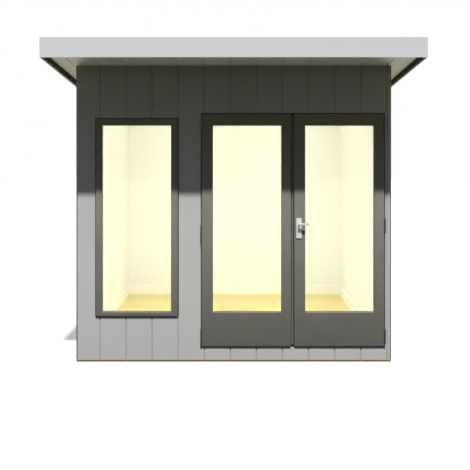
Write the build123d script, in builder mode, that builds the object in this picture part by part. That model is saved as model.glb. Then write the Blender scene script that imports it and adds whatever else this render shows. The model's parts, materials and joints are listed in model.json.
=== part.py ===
from build123d import *
import math
import os

# A garden office pod: an insulated timber room with a lean-to roof that falls to the
# back, glazed double doors and a tall fixed window in the front wall. Millimetres,
# +X to the right seen from the front, +Y to the back, +Z up. The origin is on the
# ground, at the middle of the walls, on the underside of the middle floor joist.

# Walls: the front one is a row of piers, the window and the two leaves of the doors
wall_depth = 2400.0
left_pier_width = 153.0
middle_pier_width = 180.5
right_pier_width = 57.0
front_wall_height = 2271.0
cladding_thickness = 18.0
wall_frame_thickness = 45.0
lining_thickness = 9.0
cladding_bottom = 14.0

# Cladding boards and the grooves between them
board_pitch = 200.0
first_groove_from_corner = 185.0
groove_width = 12.0
groove_depth = 7.0
corner_bevel_width = 14.0
corner_bevel_depth = 17.0

# Floor
floor_frame_height = 64.0
floor_joist_width = 45.0
floor_joist_count = 9
floor_board_thickness = 20.0

# Skirting inside
skirting_height = 95.0
skirting_thickness = 12.0

# Roof
roof_fall = 4.77
front_overhang = 510.0
back_overhang = 90.0
side_overhang = 145.5
edge_board_thickness = 20.0
edge_board_height = 140.0
edge_board_drop = 42.5
soffit_thickness = 12.0
roof_panel_thickness = 76.0
roof_covering_thickness = 5.0
soffit_groove_width = 10.0
soffit_groove_depth = 6.0

# Window
window_width = 631.0
window_bottom = 349.0
window_height = 1517.0
window_left_stile_width = 51.0
window_right_stile_width = 53.5
window_sill_width = 37.0
window_head_width = 54.0
window_gap = 5.0

# Doors
left_leaf_width = 685.5
right_leaf_width = 692.5
leaf_bottom = 119.0
leaf_height = 1783.0
leaf_thickness = 40.0
left_hinge_stile_width = 87.0
right_hinge_stile_width = 80.0
left_meeting_stile_width = 74.0
right_meeting_stile_width = 86.0
top_rail_width = 91.0
bottom_rail_width = 266.0
door_gap = 7.0

# How far the window frame and the leaves stand out from the cladding, and their edges
face_projection = 13.0
outer_bevel = 6.0
inner_bevel = 5.0
glass_thickness = 20.0
glass_lip_thickness = 12.0
rebate_depth = 12.0
bead_width = 12.0

# Door frame behind the leaves
left_jamb_width = 48.0
stop_width = 48.0
stop_gap = 5.0
door_head_height = 43.0
threshold_upstand = 21.0

# Meeting strip on the left leaf: a nose between two narrow gaps, on a tongue
strip_gap = 5.5
strip_nose_width = 11.0
meeting_clearance = 6.5
strip_recess = 8.0
strip_nose_depth = 14.0
strip_tongue_depth = 10.0
strip_end_gap = 14.0

# Butt hinges
hinge_height = 112.0
knuckle_radius = 5.5
pin_radius = 2.5
pin_clearance = 0.15
knuckle_count = 5
knuckle_gap = 0.5
knuckle_standoff = 0.5
hinge_plate_thickness = 1.8
hinge_plate_depth = 34.0
top_hinge_below_leaf_top = 84.0
bottom_hinge_above_leaf_bottom = 79.0
left_middle_hinge_drop = 17.5
right_middle_hinge_rise = 32.5

# Lever handle and lock on the right leaf
lock_backset = 37.5
spindle_above_leaf_bottom = 939.0
backplate_width = 41.0
backplate_height = 152.0
backplate_above_spindle = 43.0
backplate_thickness = 6.5
backplate_bevel = 1.5
cylinder_below_spindle = 54.0
lever_neck_radius = 7.0
lever_neck_clearance = 0.5
lever_reach = 34.0
lever_length = 74.0
lever_root_radius = 8.5
lever_tip_radius = 6.5
lever_thickness = 11.0
lever_bevel = 2.0
spindle_size = 8.0
spindle_bore_radius = 8.0
cylinder_radius = 8.5
cylinder_tail_width = 10.0
cylinder_tail_length = 19.5
cylinder_projection = 3.0
cylinder_bore_clearance = 0.3

# How far a cutting profile runs past what it cuts
cut_overrun = 10.0

# Sizes that follow from those above
meeting_width = strip_gap + strip_nose_width + meeting_clearance
doors_width = left_leaf_width + meeting_width + right_leaf_width
wall_width = (
    left_pier_width + window_width + middle_pier_width + doors_width + right_pier_width
)
front_face = -wall_depth / 2
back_face = wall_depth / 2
side_face = wall_width / 2
frame_side = side_face - cladding_thickness
frame_front = front_face + cladding_thickness
frame_back = back_face - cladding_thickness
frame_inner_side = frame_side - wall_frame_thickness
frame_inner_front = frame_front + wall_frame_thickness
frame_inner_back = frame_back - wall_frame_thickness
room_side = frame_inner_side - lining_thickness
room_front = frame_inner_front + lining_thickness
room_back = frame_inner_back - lining_thickness
floor_top = floor_frame_height + floor_board_thickness
roof_front = front_face - front_overhang
roof_back = back_face + back_overhang
roof_side = side_face + side_overhang
deck_front = roof_front + edge_board_thickness
deck_back = roof_back - edge_board_thickness
deck_side = roof_side - edge_board_thickness
joinery_face = front_face - face_projection
window_left = -side_face + left_pier_width
window_right = window_left + window_width
window_top = window_bottom + window_height
doors_left = window_right + middle_pier_width
left_leaf_right = doors_left + left_leaf_width
right_leaf_left = left_leaf_right + meeting_width
doors_right = right_leaf_left + right_leaf_width
leaf_top = leaf_bottom + leaf_height
leaf_back = joinery_face + leaf_thickness
stop_front = leaf_back + stop_gap
opening_left = doors_left - door_gap
opening_right = doors_right + door_gap
opening_bottom = leaf_bottom - door_gap
opening_top = leaf_top + door_gap
jamb_left = opening_left - left_jamb_width
head_top = opening_top + door_head_height
stop_top = opening_top - stop_width
threshold_top = opening_bottom + threshold_upstand
batten_thickness = cladding_thickness - groove_depth
above_roof = front_wall_height + roof_panel_thickness

fall = math.tan(math.radians(roof_fall))


def soffit_height(y):
    """Height of the soffit's underside above the ground at depth y."""
    return front_wall_height - fall * (y - front_face)


# The plane of the soffit's underside, facing up, and the roof panel's underside over it
soffit_plane = Plane(
    origin=(0, front_face, front_wall_height), x_dir=(1, 0, 0), z_dir=(0, fall, 1)
)
panel_underside = Plane(
    origin=(0, front_face, front_wall_height + soffit_thickness),
    x_dir=(1, 0, 0),
    z_dir=(0, fall, 1),
)


def elevation(y):
    """A sketch plane at depth y, seen from the front: its x is X and its y is Z."""
    return Plane.XZ.offset(-y)


def span(low, high):
    """Middle and length of a stretch from low to high."""
    return (low + high) / 2, high - low


def save(part, name):
    """Label a finished piece and write it under its name."""
    part.label = name
    export_step(part, f"parts/{name}.step")


def block(x_low, x_high, y_low, y_high, z_low, z_high):
    """A plain squared timber or sheet between the given faces."""
    x_middle, x_length = span(x_low, x_high)
    y_middle, y_length = span(y_low, y_high)
    with BuildPart() as piece:
        with BuildSketch(Plane.XY.offset(z_low)):
            with Locations((x_middle, y_middle)):
                Rectangle(x_length, y_length)
        extrude(amount=z_high - z_low)
    return piece.part


def wall_block(x_low, x_high, y_low, y_high, z_low):
    """A stretch of wall frame from z_low up to the sloping roof panel."""
    x_middle, x_length = span(x_low, x_high)
    y_middle, y_length = span(y_low, y_high)
    with BuildPart() as piece:
        with BuildSketch(Plane.XY.offset(z_low)):
            with Locations((x_middle, y_middle)):
                Rectangle(x_length, y_length)
        extrude(amount=above_roof - z_low)
        split(bisect_by=panel_underside, keep=Keep.BOTTOM)
    return piece.part


def roof_slab(x_low, x_high, y_low, y_high, low, high):
    """A sloping layer with plumb ends, from low to high above the soffit's underside."""
    x_middle, x_length = span(x_low, x_high)
    with BuildPart() as piece:
        with BuildSketch(Plane.YZ.offset(x_low)):
            Polygon(
                (y_low, soffit_height(y_low) + low),
                (y_high, soffit_height(y_high) + low),
                (y_high, soffit_height(y_high) + high),
                (y_low, soffit_height(y_low) + high),
                align=None,
            )
        extrude(amount=x_length)
    return piece.part


def ring(x_low, x_high, z_low, z_high, sides, y_front, y_back):
    """A joinery frame round an opening, bevelled outside and round the glass, with a
    rebate for the glass cut from behind. sides holds the face widths at the left, right,
    bottom and top.
    """
    left, right, bottom, top = sides
    x_middle, x_length = span(x_low, x_high)
    z_middle, z_length = span(z_low, z_high)
    hole_x, hole_width = span(x_low + left, x_high - right)
    hole_z, hole_height = span(z_low + bottom, z_high - top)
    with BuildPart() as piece:
        with BuildSketch(elevation(y_front)):
            with Locations((x_middle, z_middle)):
                Rectangle(x_length, z_length)
            with Locations((hole_x, hole_z)):
                Rectangle(hole_width, hole_height, mode=Mode.SUBTRACT)
        extrude(amount=-(y_back - y_front))
        with BuildSketch(elevation(y_front + glass_lip_thickness)):
            with Locations((hole_x, hole_z)):
                Rectangle(hole_width + 2 * rebate_depth, hole_height + 2 * rebate_depth)
        extrude(amount=-(y_back - y_front), mode=Mode.SUBTRACT)
        shown_face = piece.faces().sort_by(Axis.Y)[0]
        glass_edges = shown_face.inner_wires()[0].edges()
        chamfer(shown_face.outer_wire().edges(), length=outer_bevel)
        chamfer(glass_edges, length=inner_bevel)
    return piece.part


def glass_pane(x_low, x_high, z_low, z_high, sides, y_front):
    """The sealed glass unit that stands in a ring's rebate."""
    left, right, bottom, top = sides
    return block(
        x_low + left - rebate_depth,
        x_high - right + rebate_depth,
        y_front + glass_lip_thickness,
        y_front + glass_lip_thickness + glass_thickness,
        z_low + bottom - rebate_depth,
        z_high - top + rebate_depth,
    )


def bead_ring(x_low, x_high, z_low, z_high, sides, y_front, y_back):
    """Square glazing beads that hold the glass from the room side."""
    left, right, bottom, top = sides
    hole_x, hole_width = span(x_low + left, x_high - right)
    hole_z, hole_height = span(z_low + bottom, z_high - top)
    bead_front = y_front + glass_lip_thickness + glass_thickness
    with BuildPart() as piece:
        with BuildSketch(elevation(bead_front)):
            with Locations((hole_x, hole_z)):
                Rectangle(hole_width + 2 * rebate_depth, hole_height + 2 * rebate_depth)
                Rectangle(
                    hole_width + 2 * (rebate_depth - bead_width),
                    hole_height + 2 * (rebate_depth - bead_width),
                    mode=Mode.SUBTRACT,
                )
        extrude(amount=-(y_back - bead_front))
    return piece.part


os.makedirs("parts", exist_ok=True)

# Floor frame: rims at the front and back, and joists between them
with BuildPart() as floor_rims:
    for rim_middle in (
        frame_front + floor_joist_width / 2,
        frame_back - floor_joist_width / 2,
    ):
        with BuildSketch(Plane.XY):
            with Locations((0, rim_middle)):
                Rectangle(2 * frame_side, floor_joist_width)
        extrude(amount=floor_frame_height)
save(floor_rims.part, "floor_rims")

joist_pitch = (2 * frame_side - floor_joist_width) / (floor_joist_count - 1)
joist_length = frame_back - frame_front - 2 * floor_joist_width
with BuildPart() as floor_joists:
    with BuildSketch(Plane.XY):
        with GridLocations(joist_pitch, 1, floor_joist_count, 1):
            Rectangle(floor_joist_width, joist_length)
    extrude(amount=floor_frame_height)
save(floor_joists.part, "floor_joists")

save(
    block(-frame_side, frame_side, frame_front, frame_back, floor_frame_height, floor_top),
    "floor_boards",
)

# Base battens on the ground under the cladding, in the plane of its groove bottoms
batten_side = frame_side + batten_thickness
with BuildPart() as base_battens:
    with BuildSketch(Plane.XY):
        for batten_middle in (
            frame_front - batten_thickness / 2,
            frame_back + batten_thickness / 2,
        ):
            with Locations((0, batten_middle)):
                Rectangle(2 * batten_side, batten_thickness)
        with GridLocations(2 * frame_side + batten_thickness, 1, 2, 1):
            Rectangle(batten_thickness, frame_back - frame_front)
    extrude(amount=cladding_bottom)
save(base_battens.part, "base_battens")

# Wall frames: the front one is split beside and over its window and doors
save(
    wall_block(-frame_side, window_left, frame_front, frame_inner_front, floor_top),
    "front_wall_left",
)
save(
    wall_block(window_right, jamb_left, frame_front, frame_inner_front, floor_top),
    "front_wall_middle",
)
save(
    block(
        window_left,
        window_right,
        frame_front,
        frame_inner_front,
        floor_top,
        window_bottom,
    ),
    "front_wall_under_window",
)
save(
    wall_block(window_left, window_right, frame_front, frame_inner_front, window_top),
    "front_wall_over_window",
)
save(
    wall_block(jamb_left, frame_side, frame_front, frame_inner_front, head_top),
    "front_wall_over_doors",
)
save(
    wall_block(-frame_side, -frame_inner_side, frame_inner_front, frame_inner_back, floor_top),
    "left_wall",
)
save(
    wall_block(frame_inner_side, frame_side, frame_inner_front, frame_inner_back, floor_top),
    "right_wall",
)
save(
    wall_block(-frame_side, frame_side, frame_inner_back, frame_back, floor_top),
    "back_wall",
)


# Cladding: boards with V grooves between them, cut round the window and the doors
def groove_places(low, high, first):
    """Groove positions a board's pitch apart, between low and high, through first."""
    count_down = math.floor((first - low - groove_width) / board_pitch)
    start = first - count_down * board_pitch
    count = math.floor((high - groove_width - start) / board_pitch) + 1
    return [start + number * board_pitch for number in range(count)]


def long_wall_cladding(outer_face, inner_face, first_groove):
    """Boards of the front or back wall, from corner to corner, not yet cut round openings."""
    outward = math.copysign(1, outer_face)
    middle, thickness = span(inner_face, outer_face)
    places = [(x, outer_face) for x in groove_places(-side_face, side_face, first_groove)]
    with BuildPart() as piece:
        with BuildSketch(Plane.XY.offset(cladding_bottom)):
            with Locations((0, middle)):
                Rectangle(wall_width, abs(thickness))
            for side in (-1, 1):
                with Locations((side * side_face, outer_face)):
                    Polygon(
                        (0, 0),
                        (-side * corner_bevel_width, 0),
                        (0, -outward * corner_bevel_depth),
                        align=None,
                        mode=Mode.SUBTRACT,
                    )
            with Locations(*places):
                Polygon(
                    (-groove_width / 2, outward),
                    (groove_width / 2, outward),
                    (groove_width / 2, 0),
                    (0, -outward * groove_depth),
                    (-groove_width / 2, 0),
                    align=None,
                    mode=Mode.SUBTRACT,
                )
        extrude(amount=above_roof - cladding_bottom)
        split(bisect_by=panel_underside, keep=Keep.BOTTOM)
    return piece.part


first_groove = -side_face + first_groove_from_corner
with BuildPart() as front_cladding:
    add(long_wall_cladding(front_face, frame_front, first_groove))
    with BuildSketch(elevation(frame_front)):
        window_middle_x, _ = span(window_left, window_right)
        window_middle_z, _ = span(window_bottom, window_top)
        with Locations((window_middle_x, window_middle_z)):
            Rectangle(window_width + 2 * window_gap, window_height + 2 * window_gap)
        doors_middle_x, doors_cut_width = span(opening_left, opening_right)
        doors_middle_z, doors_cut_height = span(opening_bottom, opening_top)
        with Locations((doors_middle_x, doors_middle_z)):
            Rectangle(doors_cut_width, doors_cut_height)
    extrude(amount=cladding_thickness, mode=Mode.SUBTRACT)
save(front_cladding.part, "front_cladding")

save(long_wall_cladding(back_face, frame_back, -first_groove), "back_cladding")


def side_wall_cladding(side):
    """Boards of a side wall, between the front and back boards."""
    outer_face = side * side_face
    places = [
        (outer_face, y)
        for y in groove_places(frame_front, frame_back, front_face + board_pitch)
    ]
    with BuildPart() as piece:
        with BuildSketch(Plane.XY.offset(cladding_bottom)):
            with Locations((side * (side_face + frame_side) / 2, 0)):
                Rectangle(cladding_thickness, frame_back - frame_front)
            with Locations(*places):
                Polygon(
                    (side, -groove_width / 2),
                    (side, groove_width / 2),
                    (0, groove_width / 2),
                    (-side * groove_depth, 0),
                    (0, -groove_width / 2),
                    align=None,
                    mode=Mode.SUBTRACT,
                )
        extrude(amount=above_roof - cladding_bottom)
        split(bisect_by=panel_underside, keep=Keep.BOTTOM)
    return piece.part


save(side_wall_cladding(-1), "left_cladding")
save(side_wall_cladding(1), "right_cladding")

# Linings inside, skirting and ceiling
with BuildPart() as front_lining:
    with BuildSketch(Plane.XY.offset(floor_top)):
        front_lining_middle, _ = span(frame_inner_front, room_front)
        with Locations((0, front_lining_middle)):
            Rectangle(2 * room_side, lining_thickness)
    extrude(amount=above_roof - floor_top)
    split(bisect_by=soffit_plane, keep=Keep.BOTTOM)
    with BuildSketch(elevation(room_front)):
        with Locations((window_middle_x, window_middle_z)):
            Rectangle(window_width, window_height)
        clear_left = opening_left + stop_width
        clear_right = opening_right - stop_width
        clear_middle, clear_width = span(clear_left, clear_right)
        with Locations((clear_middle, span(floor_top, stop_top)[0])):
            Rectangle(clear_width, stop_top - floor_top)
    extrude(amount=lining_thickness, mode=Mode.SUBTRACT)
save(front_lining.part, "front_lining")


def lining(x_low, x_high, y_low, y_high):
    """A wall lining from the floor to the ceiling."""
    x_middle, x_length = span(x_low, x_high)
    y_middle, y_length = span(y_low, y_high)
    with BuildPart() as piece:
        with BuildSketch(Plane.XY.offset(floor_top)):
            with Locations((x_middle, y_middle)):
                Rectangle(x_length, y_length)
        extrude(amount=above_roof - floor_top)
        split(bisect_by=soffit_plane, keep=Keep.BOTTOM)
    return piece.part


save(
    lining(-frame_inner_side, -room_side, frame_inner_front, frame_inner_back),
    "left_lining",
)
save(
    lining(room_side, frame_inner_side, frame_inner_front, frame_inner_back),
    "right_lining",
)
save(lining(-room_side, room_side, room_back, frame_inner_back), "back_lining")

with BuildPart() as skirting:
    with BuildSketch(Plane.XY.offset(floor_top)):
        with Locations((0, room_back - skirting_thickness / 2)):
            Rectangle(2 * room_side, skirting_thickness)
        side_skirting_middle, side_skirting_length = span(
            room_front, room_back - skirting_thickness
        )
        for side in (-1, 1):
            with Locations(
                (side * (room_side - skirting_thickness / 2), side_skirting_middle)
            ):
                Rectangle(skirting_thickness, side_skirting_length)
    extrude(amount=skirting_height)
save(skirting.part, "skirting")

save(
    roof_slab(
        -frame_inner_side,
        frame_inner_side,
        frame_inner_front,
        frame_inner_back,
        0,
        soffit_thickness,
    ),
    "ceiling_lining",
)

# Roof: panel, covering, edge boards and soffits
panel_top = soffit_thickness + roof_panel_thickness
save(
    roof_slab(-deck_side, deck_side, deck_front, deck_back, soffit_thickness, panel_top),
    "roof_panel",
)
save(
    roof_slab(
        -deck_side,
        deck_side,
        deck_front,
        deck_back,
        panel_top,
        panel_top + roof_covering_thickness,
    ),
    "roof_covering",
)
edge_board_top = edge_board_height - edge_board_drop
for side, name in ((-1, "left_barge_board"), (1, "right_barge_board")):
    board_low, board_high = sorted((side * deck_side, side * roof_side))
    save(
        roof_slab(
            board_low, board_high, deck_front, deck_back, -edge_board_drop, edge_board_top
        ),
        name,
    )
fascia_bottom = soffit_height(roof_front) - edge_board_drop
save(
    block(
        -roof_side,
        roof_side,
        roof_front,
        deck_front,
        fascia_bottom,
        fascia_bottom + edge_board_height,
    ),
    "front_fascia",
)
back_fascia_bottom = soffit_height(roof_back) - edge_board_drop
save(
    block(
        -roof_side,
        roof_side,
        deck_back,
        roof_back,
        back_fascia_bottom,
        back_fascia_bottom + edge_board_height,
    ),
    "back_fascia",
)


def soffit_board(x_low, x_high, y_low, y_high, groove_xs, groove_ys):
    """A sloping soffit with V grooves on its underside, along Y at groove_xs or along X
    at groove_ys.
    """
    run = Vector(0, 1, -fall).normalized()
    piece_slab = roof_slab(x_low, x_high, y_low, y_high, 0, soffit_thickness)
    with BuildPart() as piece:
        add(piece_slab)
        for x in groove_xs:
            start_y = y_low - cut_overrun
            start = Plane(
                origin=(x, start_y, soffit_height(start_y)), x_dir=(1, 0, 0), z_dir=run
            )
            with BuildSketch(start):
                Polygon(
                    (-soffit_groove_width / 2, 1),
                    (soffit_groove_width / 2, 1),
                    (soffit_groove_width / 2, 0),
                    (0, -soffit_groove_depth),
                    (-soffit_groove_width / 2, 0),
                    align=None,
                )
            extrude(amount=y_high - y_low + 2 * cut_overrun, mode=Mode.SUBTRACT)
        for y in groove_ys:
            start = Plane(
                origin=(x_low - cut_overrun, y, soffit_height(y)),
                x_dir=run,
                z_dir=(1, 0, 0),
            )
            with BuildSketch(start):
                Polygon(
                    (-soffit_groove_width / 2, -1),
                    (soffit_groove_width / 2, -1),
                    (soffit_groove_width / 2, 0),
                    (0, soffit_groove_depth),
                    (-soffit_groove_width / 2, 0),
                    align=None,
                )
            extrude(amount=x_high - x_low + 2 * cut_overrun, mode=Mode.SUBTRACT)
    return piece.part


save(
    soffit_board(
        -deck_side,
        deck_side,
        deck_front,
        front_face,
        groove_places(-deck_side, deck_side, first_groove),
        [],
    ),
    "front_soffit",
)
side_grooves = groove_places(front_face, deck_back, front_face + board_pitch)
with BuildPart() as side_soffits:
    add(soffit_board(-deck_side, -side_face, front_face, deck_back, [], side_grooves))
    add(soffit_board(side_face, deck_side, front_face, deck_back, [], side_grooves))
save(side_soffits.part, "side_soffits")
save(
    soffit_board(
        -side_face,
        side_face,
        back_face,
        deck_back,
        groove_places(-side_face, side_face, -first_groove),
        [],
    ),
    "back_soffit",
)

# Window: a fixed frame with its glass and beads
window_sides = (
    window_left_stile_width,
    window_right_stile_width,
    window_sill_width,
    window_head_width,
)
window_extent = (window_left, window_right, window_bottom, window_top)
save(ring(*window_extent, window_sides, joinery_face, room_front), "window_frame")
save(glass_pane(*window_extent, window_sides, joinery_face), "window_glass")
save(
    bead_ring(*window_extent, window_sides, joinery_face, leaf_back),
    "window_beads",
)

# Door frame: rebated jambs and head, and a threshold with an upstand behind the leaves
with BuildPart() as door_jambs:
    for outer, inner, stop in (
        (jamb_left, opening_left, opening_left + stop_width),
        (frame_side, opening_right, opening_right - stop_width),
    ):
        with BuildSketch(Plane.XY.offset(floor_top)):
            with Locations((span(outer, inner)[0], span(frame_front, frame_inner_front)[0])):
                Rectangle(abs(inner - outer), wall_frame_thickness)
        extrude(amount=head_top - floor_top)
        with BuildSketch(Plane.XY.offset(threshold_top)):
            with Locations((span(inner, stop)[0], span(stop_front, frame_inner_front)[0])):
                Rectangle(stop_width, frame_inner_front - stop_front)
        extrude(amount=opening_top - threshold_top)
save(door_jambs.part, "door_jambs")

with BuildPart() as door_head:
    with BuildSketch(Plane.YZ.offset(opening_left)):
        with Locations(
            (span(frame_front, frame_inner_front)[0], span(opening_top, head_top)[0])
        ):
            Rectangle(wall_frame_thickness, door_head_height)
    extrude(amount=opening_right - opening_left)
    with BuildSketch(Plane.YZ.offset(opening_left + stop_width)):
        with Locations(
            (span(stop_front, frame_inner_front)[0], span(stop_top, opening_top)[0])
        ):
            Rectangle(frame_inner_front - stop_front, stop_width)
    extrude(amount=opening_right - opening_left - 2 * stop_width)
save(door_head.part, "door_head")

with BuildPart() as door_threshold:
    with BuildSketch(Plane.YZ.offset(opening_left)):
        Polygon(
            (frame_front, floor_top),
            (frame_inner_front, floor_top),
            (frame_inner_front, threshold_top),
            (stop_front, threshold_top),
            (stop_front, opening_bottom),
            (frame_front, opening_bottom),
            align=None,
        )
    extrude(amount=opening_right - opening_left)
save(door_threshold.part, "door_threshold")

# Leaves of the double doors, with their glass and beads
left_leaf_extent = (doors_left, left_leaf_right, leaf_bottom, leaf_top)
left_leaf_sides = (
    left_hinge_stile_width,
    left_meeting_stile_width,
    bottom_rail_width,
    top_rail_width,
)
save(ring(*left_leaf_extent, left_leaf_sides, joinery_face, leaf_back), "left_door_frame")
save(glass_pane(*left_leaf_extent, left_leaf_sides, joinery_face), "left_door_glass")
save(
    bead_ring(*left_leaf_extent, left_leaf_sides, joinery_face, leaf_back),
    "left_door_beads",
)

right_leaf_extent = (right_leaf_left, doors_right, leaf_bottom, leaf_top)
right_leaf_sides = (
    right_meeting_stile_width,
    right_hinge_stile_width,
    bottom_rail_width,
    top_rail_width,
)
spindle_x = right_leaf_left + lock_backset
spindle_height = leaf_bottom + spindle_above_leaf_bottom
cylinder_height = spindle_height - cylinder_below_spindle


def lock_bores(clearance):
    """The keyhole outline of a lock cylinder, grown by clearance, round the cylinder's axis."""
    with BuildSketch() as outline:
        Circle(cylinder_radius + clearance)
        with Locations((0, -cylinder_tail_length / 2)):
            Rectangle(cylinder_tail_width + 2 * clearance, cylinder_tail_length)
        with Locations((0, -cylinder_tail_length)):
            Circle(cylinder_tail_width / 2 + clearance)
    return outline.sketch


with BuildPart() as right_door_frame:
    add(ring(*right_leaf_extent, right_leaf_sides, joinery_face, leaf_back))
    with BuildSketch(elevation(joinery_face)):
        with Locations((spindle_x, spindle_height)):
            Circle(spindle_bore_radius)
        with Locations((spindle_x, cylinder_height)):
            add(lock_bores(cylinder_bore_clearance))
    extrude(amount=-leaf_thickness, mode=Mode.SUBTRACT)
save(right_door_frame.part, "right_door_frame")
save(glass_pane(*right_leaf_extent, right_leaf_sides, joinery_face), "right_door_glass")
save(
    bead_ring(*right_leaf_extent, right_leaf_sides, joinery_face, leaf_back),
    "right_door_beads",
)

# Meeting strip: a recessed nose on a tongue fixed to the left leaf's edge, short of its ends
strip_front = joinery_face + strip_recess
tongue_front = strip_front + strip_nose_depth
tongue_back = tongue_front + strip_tongue_depth
nose_left = left_leaf_right + strip_gap
nose_right = nose_left + strip_nose_width
with BuildPart() as meeting_strip:
    with BuildSketch(Plane.XY.offset(leaf_bottom + strip_end_gap)):
        Polygon(
            (nose_left, strip_front),
            (nose_right, strip_front),
            (nose_right, tongue_back),
            (left_leaf_right, tongue_back),
            (left_leaf_right, tongue_front),
            (nose_left, tongue_front),
            align=None,
        )
    extrude(amount=leaf_height - 2 * strip_end_gap)
save(meeting_strip.part, "meeting_strip")

# Butt hinges: knuckles in turn on the frame's plate, which holds the pin, and the leaf's
plate_front = joinery_face
hinge_axis_y = plate_front - knuckle_radius - knuckle_standoff
knuckle_length = hinge_height / knuckle_count


def hinge_half(axis_x, middle_height, plate_side, first_knuckle, has_pin):
    """One half of a butt hinge: plate_side is -1 or 1, where the plate lies from the pin."""
    plate_low, plate_high = sorted(
        (
            axis_x + plate_side * door_gap / 2,
            axis_x + plate_side * (door_gap / 2 - hinge_plate_thickness),
        )
    )
    plate_x, _ = span(plate_low, plate_high)
    bottom = middle_height - hinge_height / 2
    with BuildPart() as half:
        with BuildSketch(Plane.XY.offset(bottom)):
            with Locations((plate_x, plate_front + hinge_plate_depth / 2)):
                Rectangle(hinge_plate_thickness, hinge_plate_depth)
        extrude(amount=hinge_height)
        for number in range(first_knuckle, knuckle_count, 2):
            low = bottom + number * knuckle_length + knuckle_gap / 2
            with BuildSketch(Plane.XY.offset(low)):
                with Locations((axis_x, hinge_axis_y)):
                    Circle(knuckle_radius)
                web_middle, web_length = span(hinge_axis_y, plate_front)
                with Locations((plate_x, web_middle)):
                    Rectangle(hinge_plate_thickness, web_length)
                if not has_pin:
                    with Locations((axis_x, hinge_axis_y)):
                        Circle(pin_radius + pin_clearance, mode=Mode.SUBTRACT)
            extrude(amount=knuckle_length - knuckle_gap)
        if has_pin:
            with BuildSketch(Plane.XY.offset(bottom + knuckle_gap / 2)):
                with Locations((axis_x, hinge_axis_y)):
                    Circle(pin_radius)
            extrude(amount=hinge_height - knuckle_gap)
    return half.part


left_hinge_x = doors_left - door_gap / 2
right_hinge_x = doors_right + door_gap / 2
leaf_middle = leaf_bottom + leaf_height / 2
top_hinge = leaf_top - top_hinge_below_leaf_top
bottom_hinge = leaf_bottom + bottom_hinge_above_leaf_bottom
left_hinge_heights = (bottom_hinge, leaf_middle - left_middle_hinge_drop, top_hinge)
right_hinge_heights = (bottom_hinge, leaf_middle + right_middle_hinge_rise, top_hinge)

with BuildPart() as frame_hinges:
    for height in left_hinge_heights:
        add(hinge_half(left_hinge_x, height, -1, 0, True))
    for height in right_hinge_heights:
        add(hinge_half(right_hinge_x, height, 1, 0, True))
save(frame_hinges.part, "frame_hinges")

with BuildPart() as left_door_hinges:
    for height in left_hinge_heights:
        add(hinge_half(left_hinge_x, height, 1, 1, False))
save(left_door_hinges.part, "left_door_hinges")

with BuildPart() as right_door_hinges:
    for height in right_hinge_heights:
        add(hinge_half(right_hinge_x, height, -1, 1, False))
save(right_door_hinges.part, "right_door_hinges")

# Lock: backplates on both faces of the right leaf, and the key cylinder through them
backplate_middle = spindle_height + backplate_above_spindle - backplate_height / 2
with BuildPart() as backplates:
    for plate_face, outward in ((joinery_face, 1), (leaf_back, -1)):
        with BuildSketch(elevation(plate_face)):
            with Locations((spindle_x, backplate_middle)):
                RectangleRounded(backplate_width, backplate_height, backplate_bevel)
            with Locations((spindle_x, spindle_height)):
                Circle(lever_neck_radius + lever_neck_clearance, mode=Mode.SUBTRACT)
            with Locations((spindle_x, cylinder_height)):
                add(lock_bores(cylinder_bore_clearance), mode=Mode.SUBTRACT)
        extrude(amount=outward * backplate_thickness)
    for end in (0, -1):
        shown_face = backplates.faces().sort_by(Axis.Y)[end]
        chamfer(shown_face.outer_wire().edges(), length=backplate_bevel)
save(backplates.part, "backplates")

cylinder_front = joinery_face - backplate_thickness - cylinder_projection
cylinder_back = leaf_back + backplate_thickness + cylinder_projection
with BuildPart() as lock_cylinder:
    with BuildSketch(elevation(cylinder_front)):
        with Locations((spindle_x, cylinder_height)):
            add(lock_bores(0))
    extrude(amount=-(cylinder_back - cylinder_front))
save(lock_cylinder.part, "lock_cylinder")


# Lever handle: a neck and a flat tapered grip on each side of the leaf, on one spindle
def lever(start_y, outward):
    """The neck straight out from the leaf, and the grip along it towards the hinges."""
    grip_y = start_y + outward * (lever_reach - lever_thickness / 2)
    with BuildPart() as half:
        with BuildSketch(elevation(start_y)):
            with Locations((spindle_x, spindle_height)):
                Circle(lever_neck_radius)
        extrude(amount=-(grip_y - start_y))
        with BuildSketch(elevation(grip_y)):
            with Locations((spindle_x, spindle_height)):
                Circle(lever_root_radius)
            with Locations((spindle_x + lever_length, spindle_height)):
                Circle(lever_tip_radius)
            make_hull()
        extrude(amount=-outward * lever_thickness)
        ends = half.faces().sort_by(Axis.Y)
        shown_face = ends[0] if outward < 0 else ends[-1]
        chamfer(shown_face.outer_wire().edges(), length=lever_bevel)
    return half.part


with BuildPart() as lever_handle:
    add(lever(joinery_face, -1))
    add(lever(leaf_back, 1))
    with BuildSketch(elevation(joinery_face)):
        with Locations((spindle_x, spindle_height)):
            Rectangle(spindle_size, spindle_size)
    extrude(amount=-leaf_thickness)
save(lever_handle.part, "lever_handle")
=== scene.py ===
import json
import math

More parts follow.
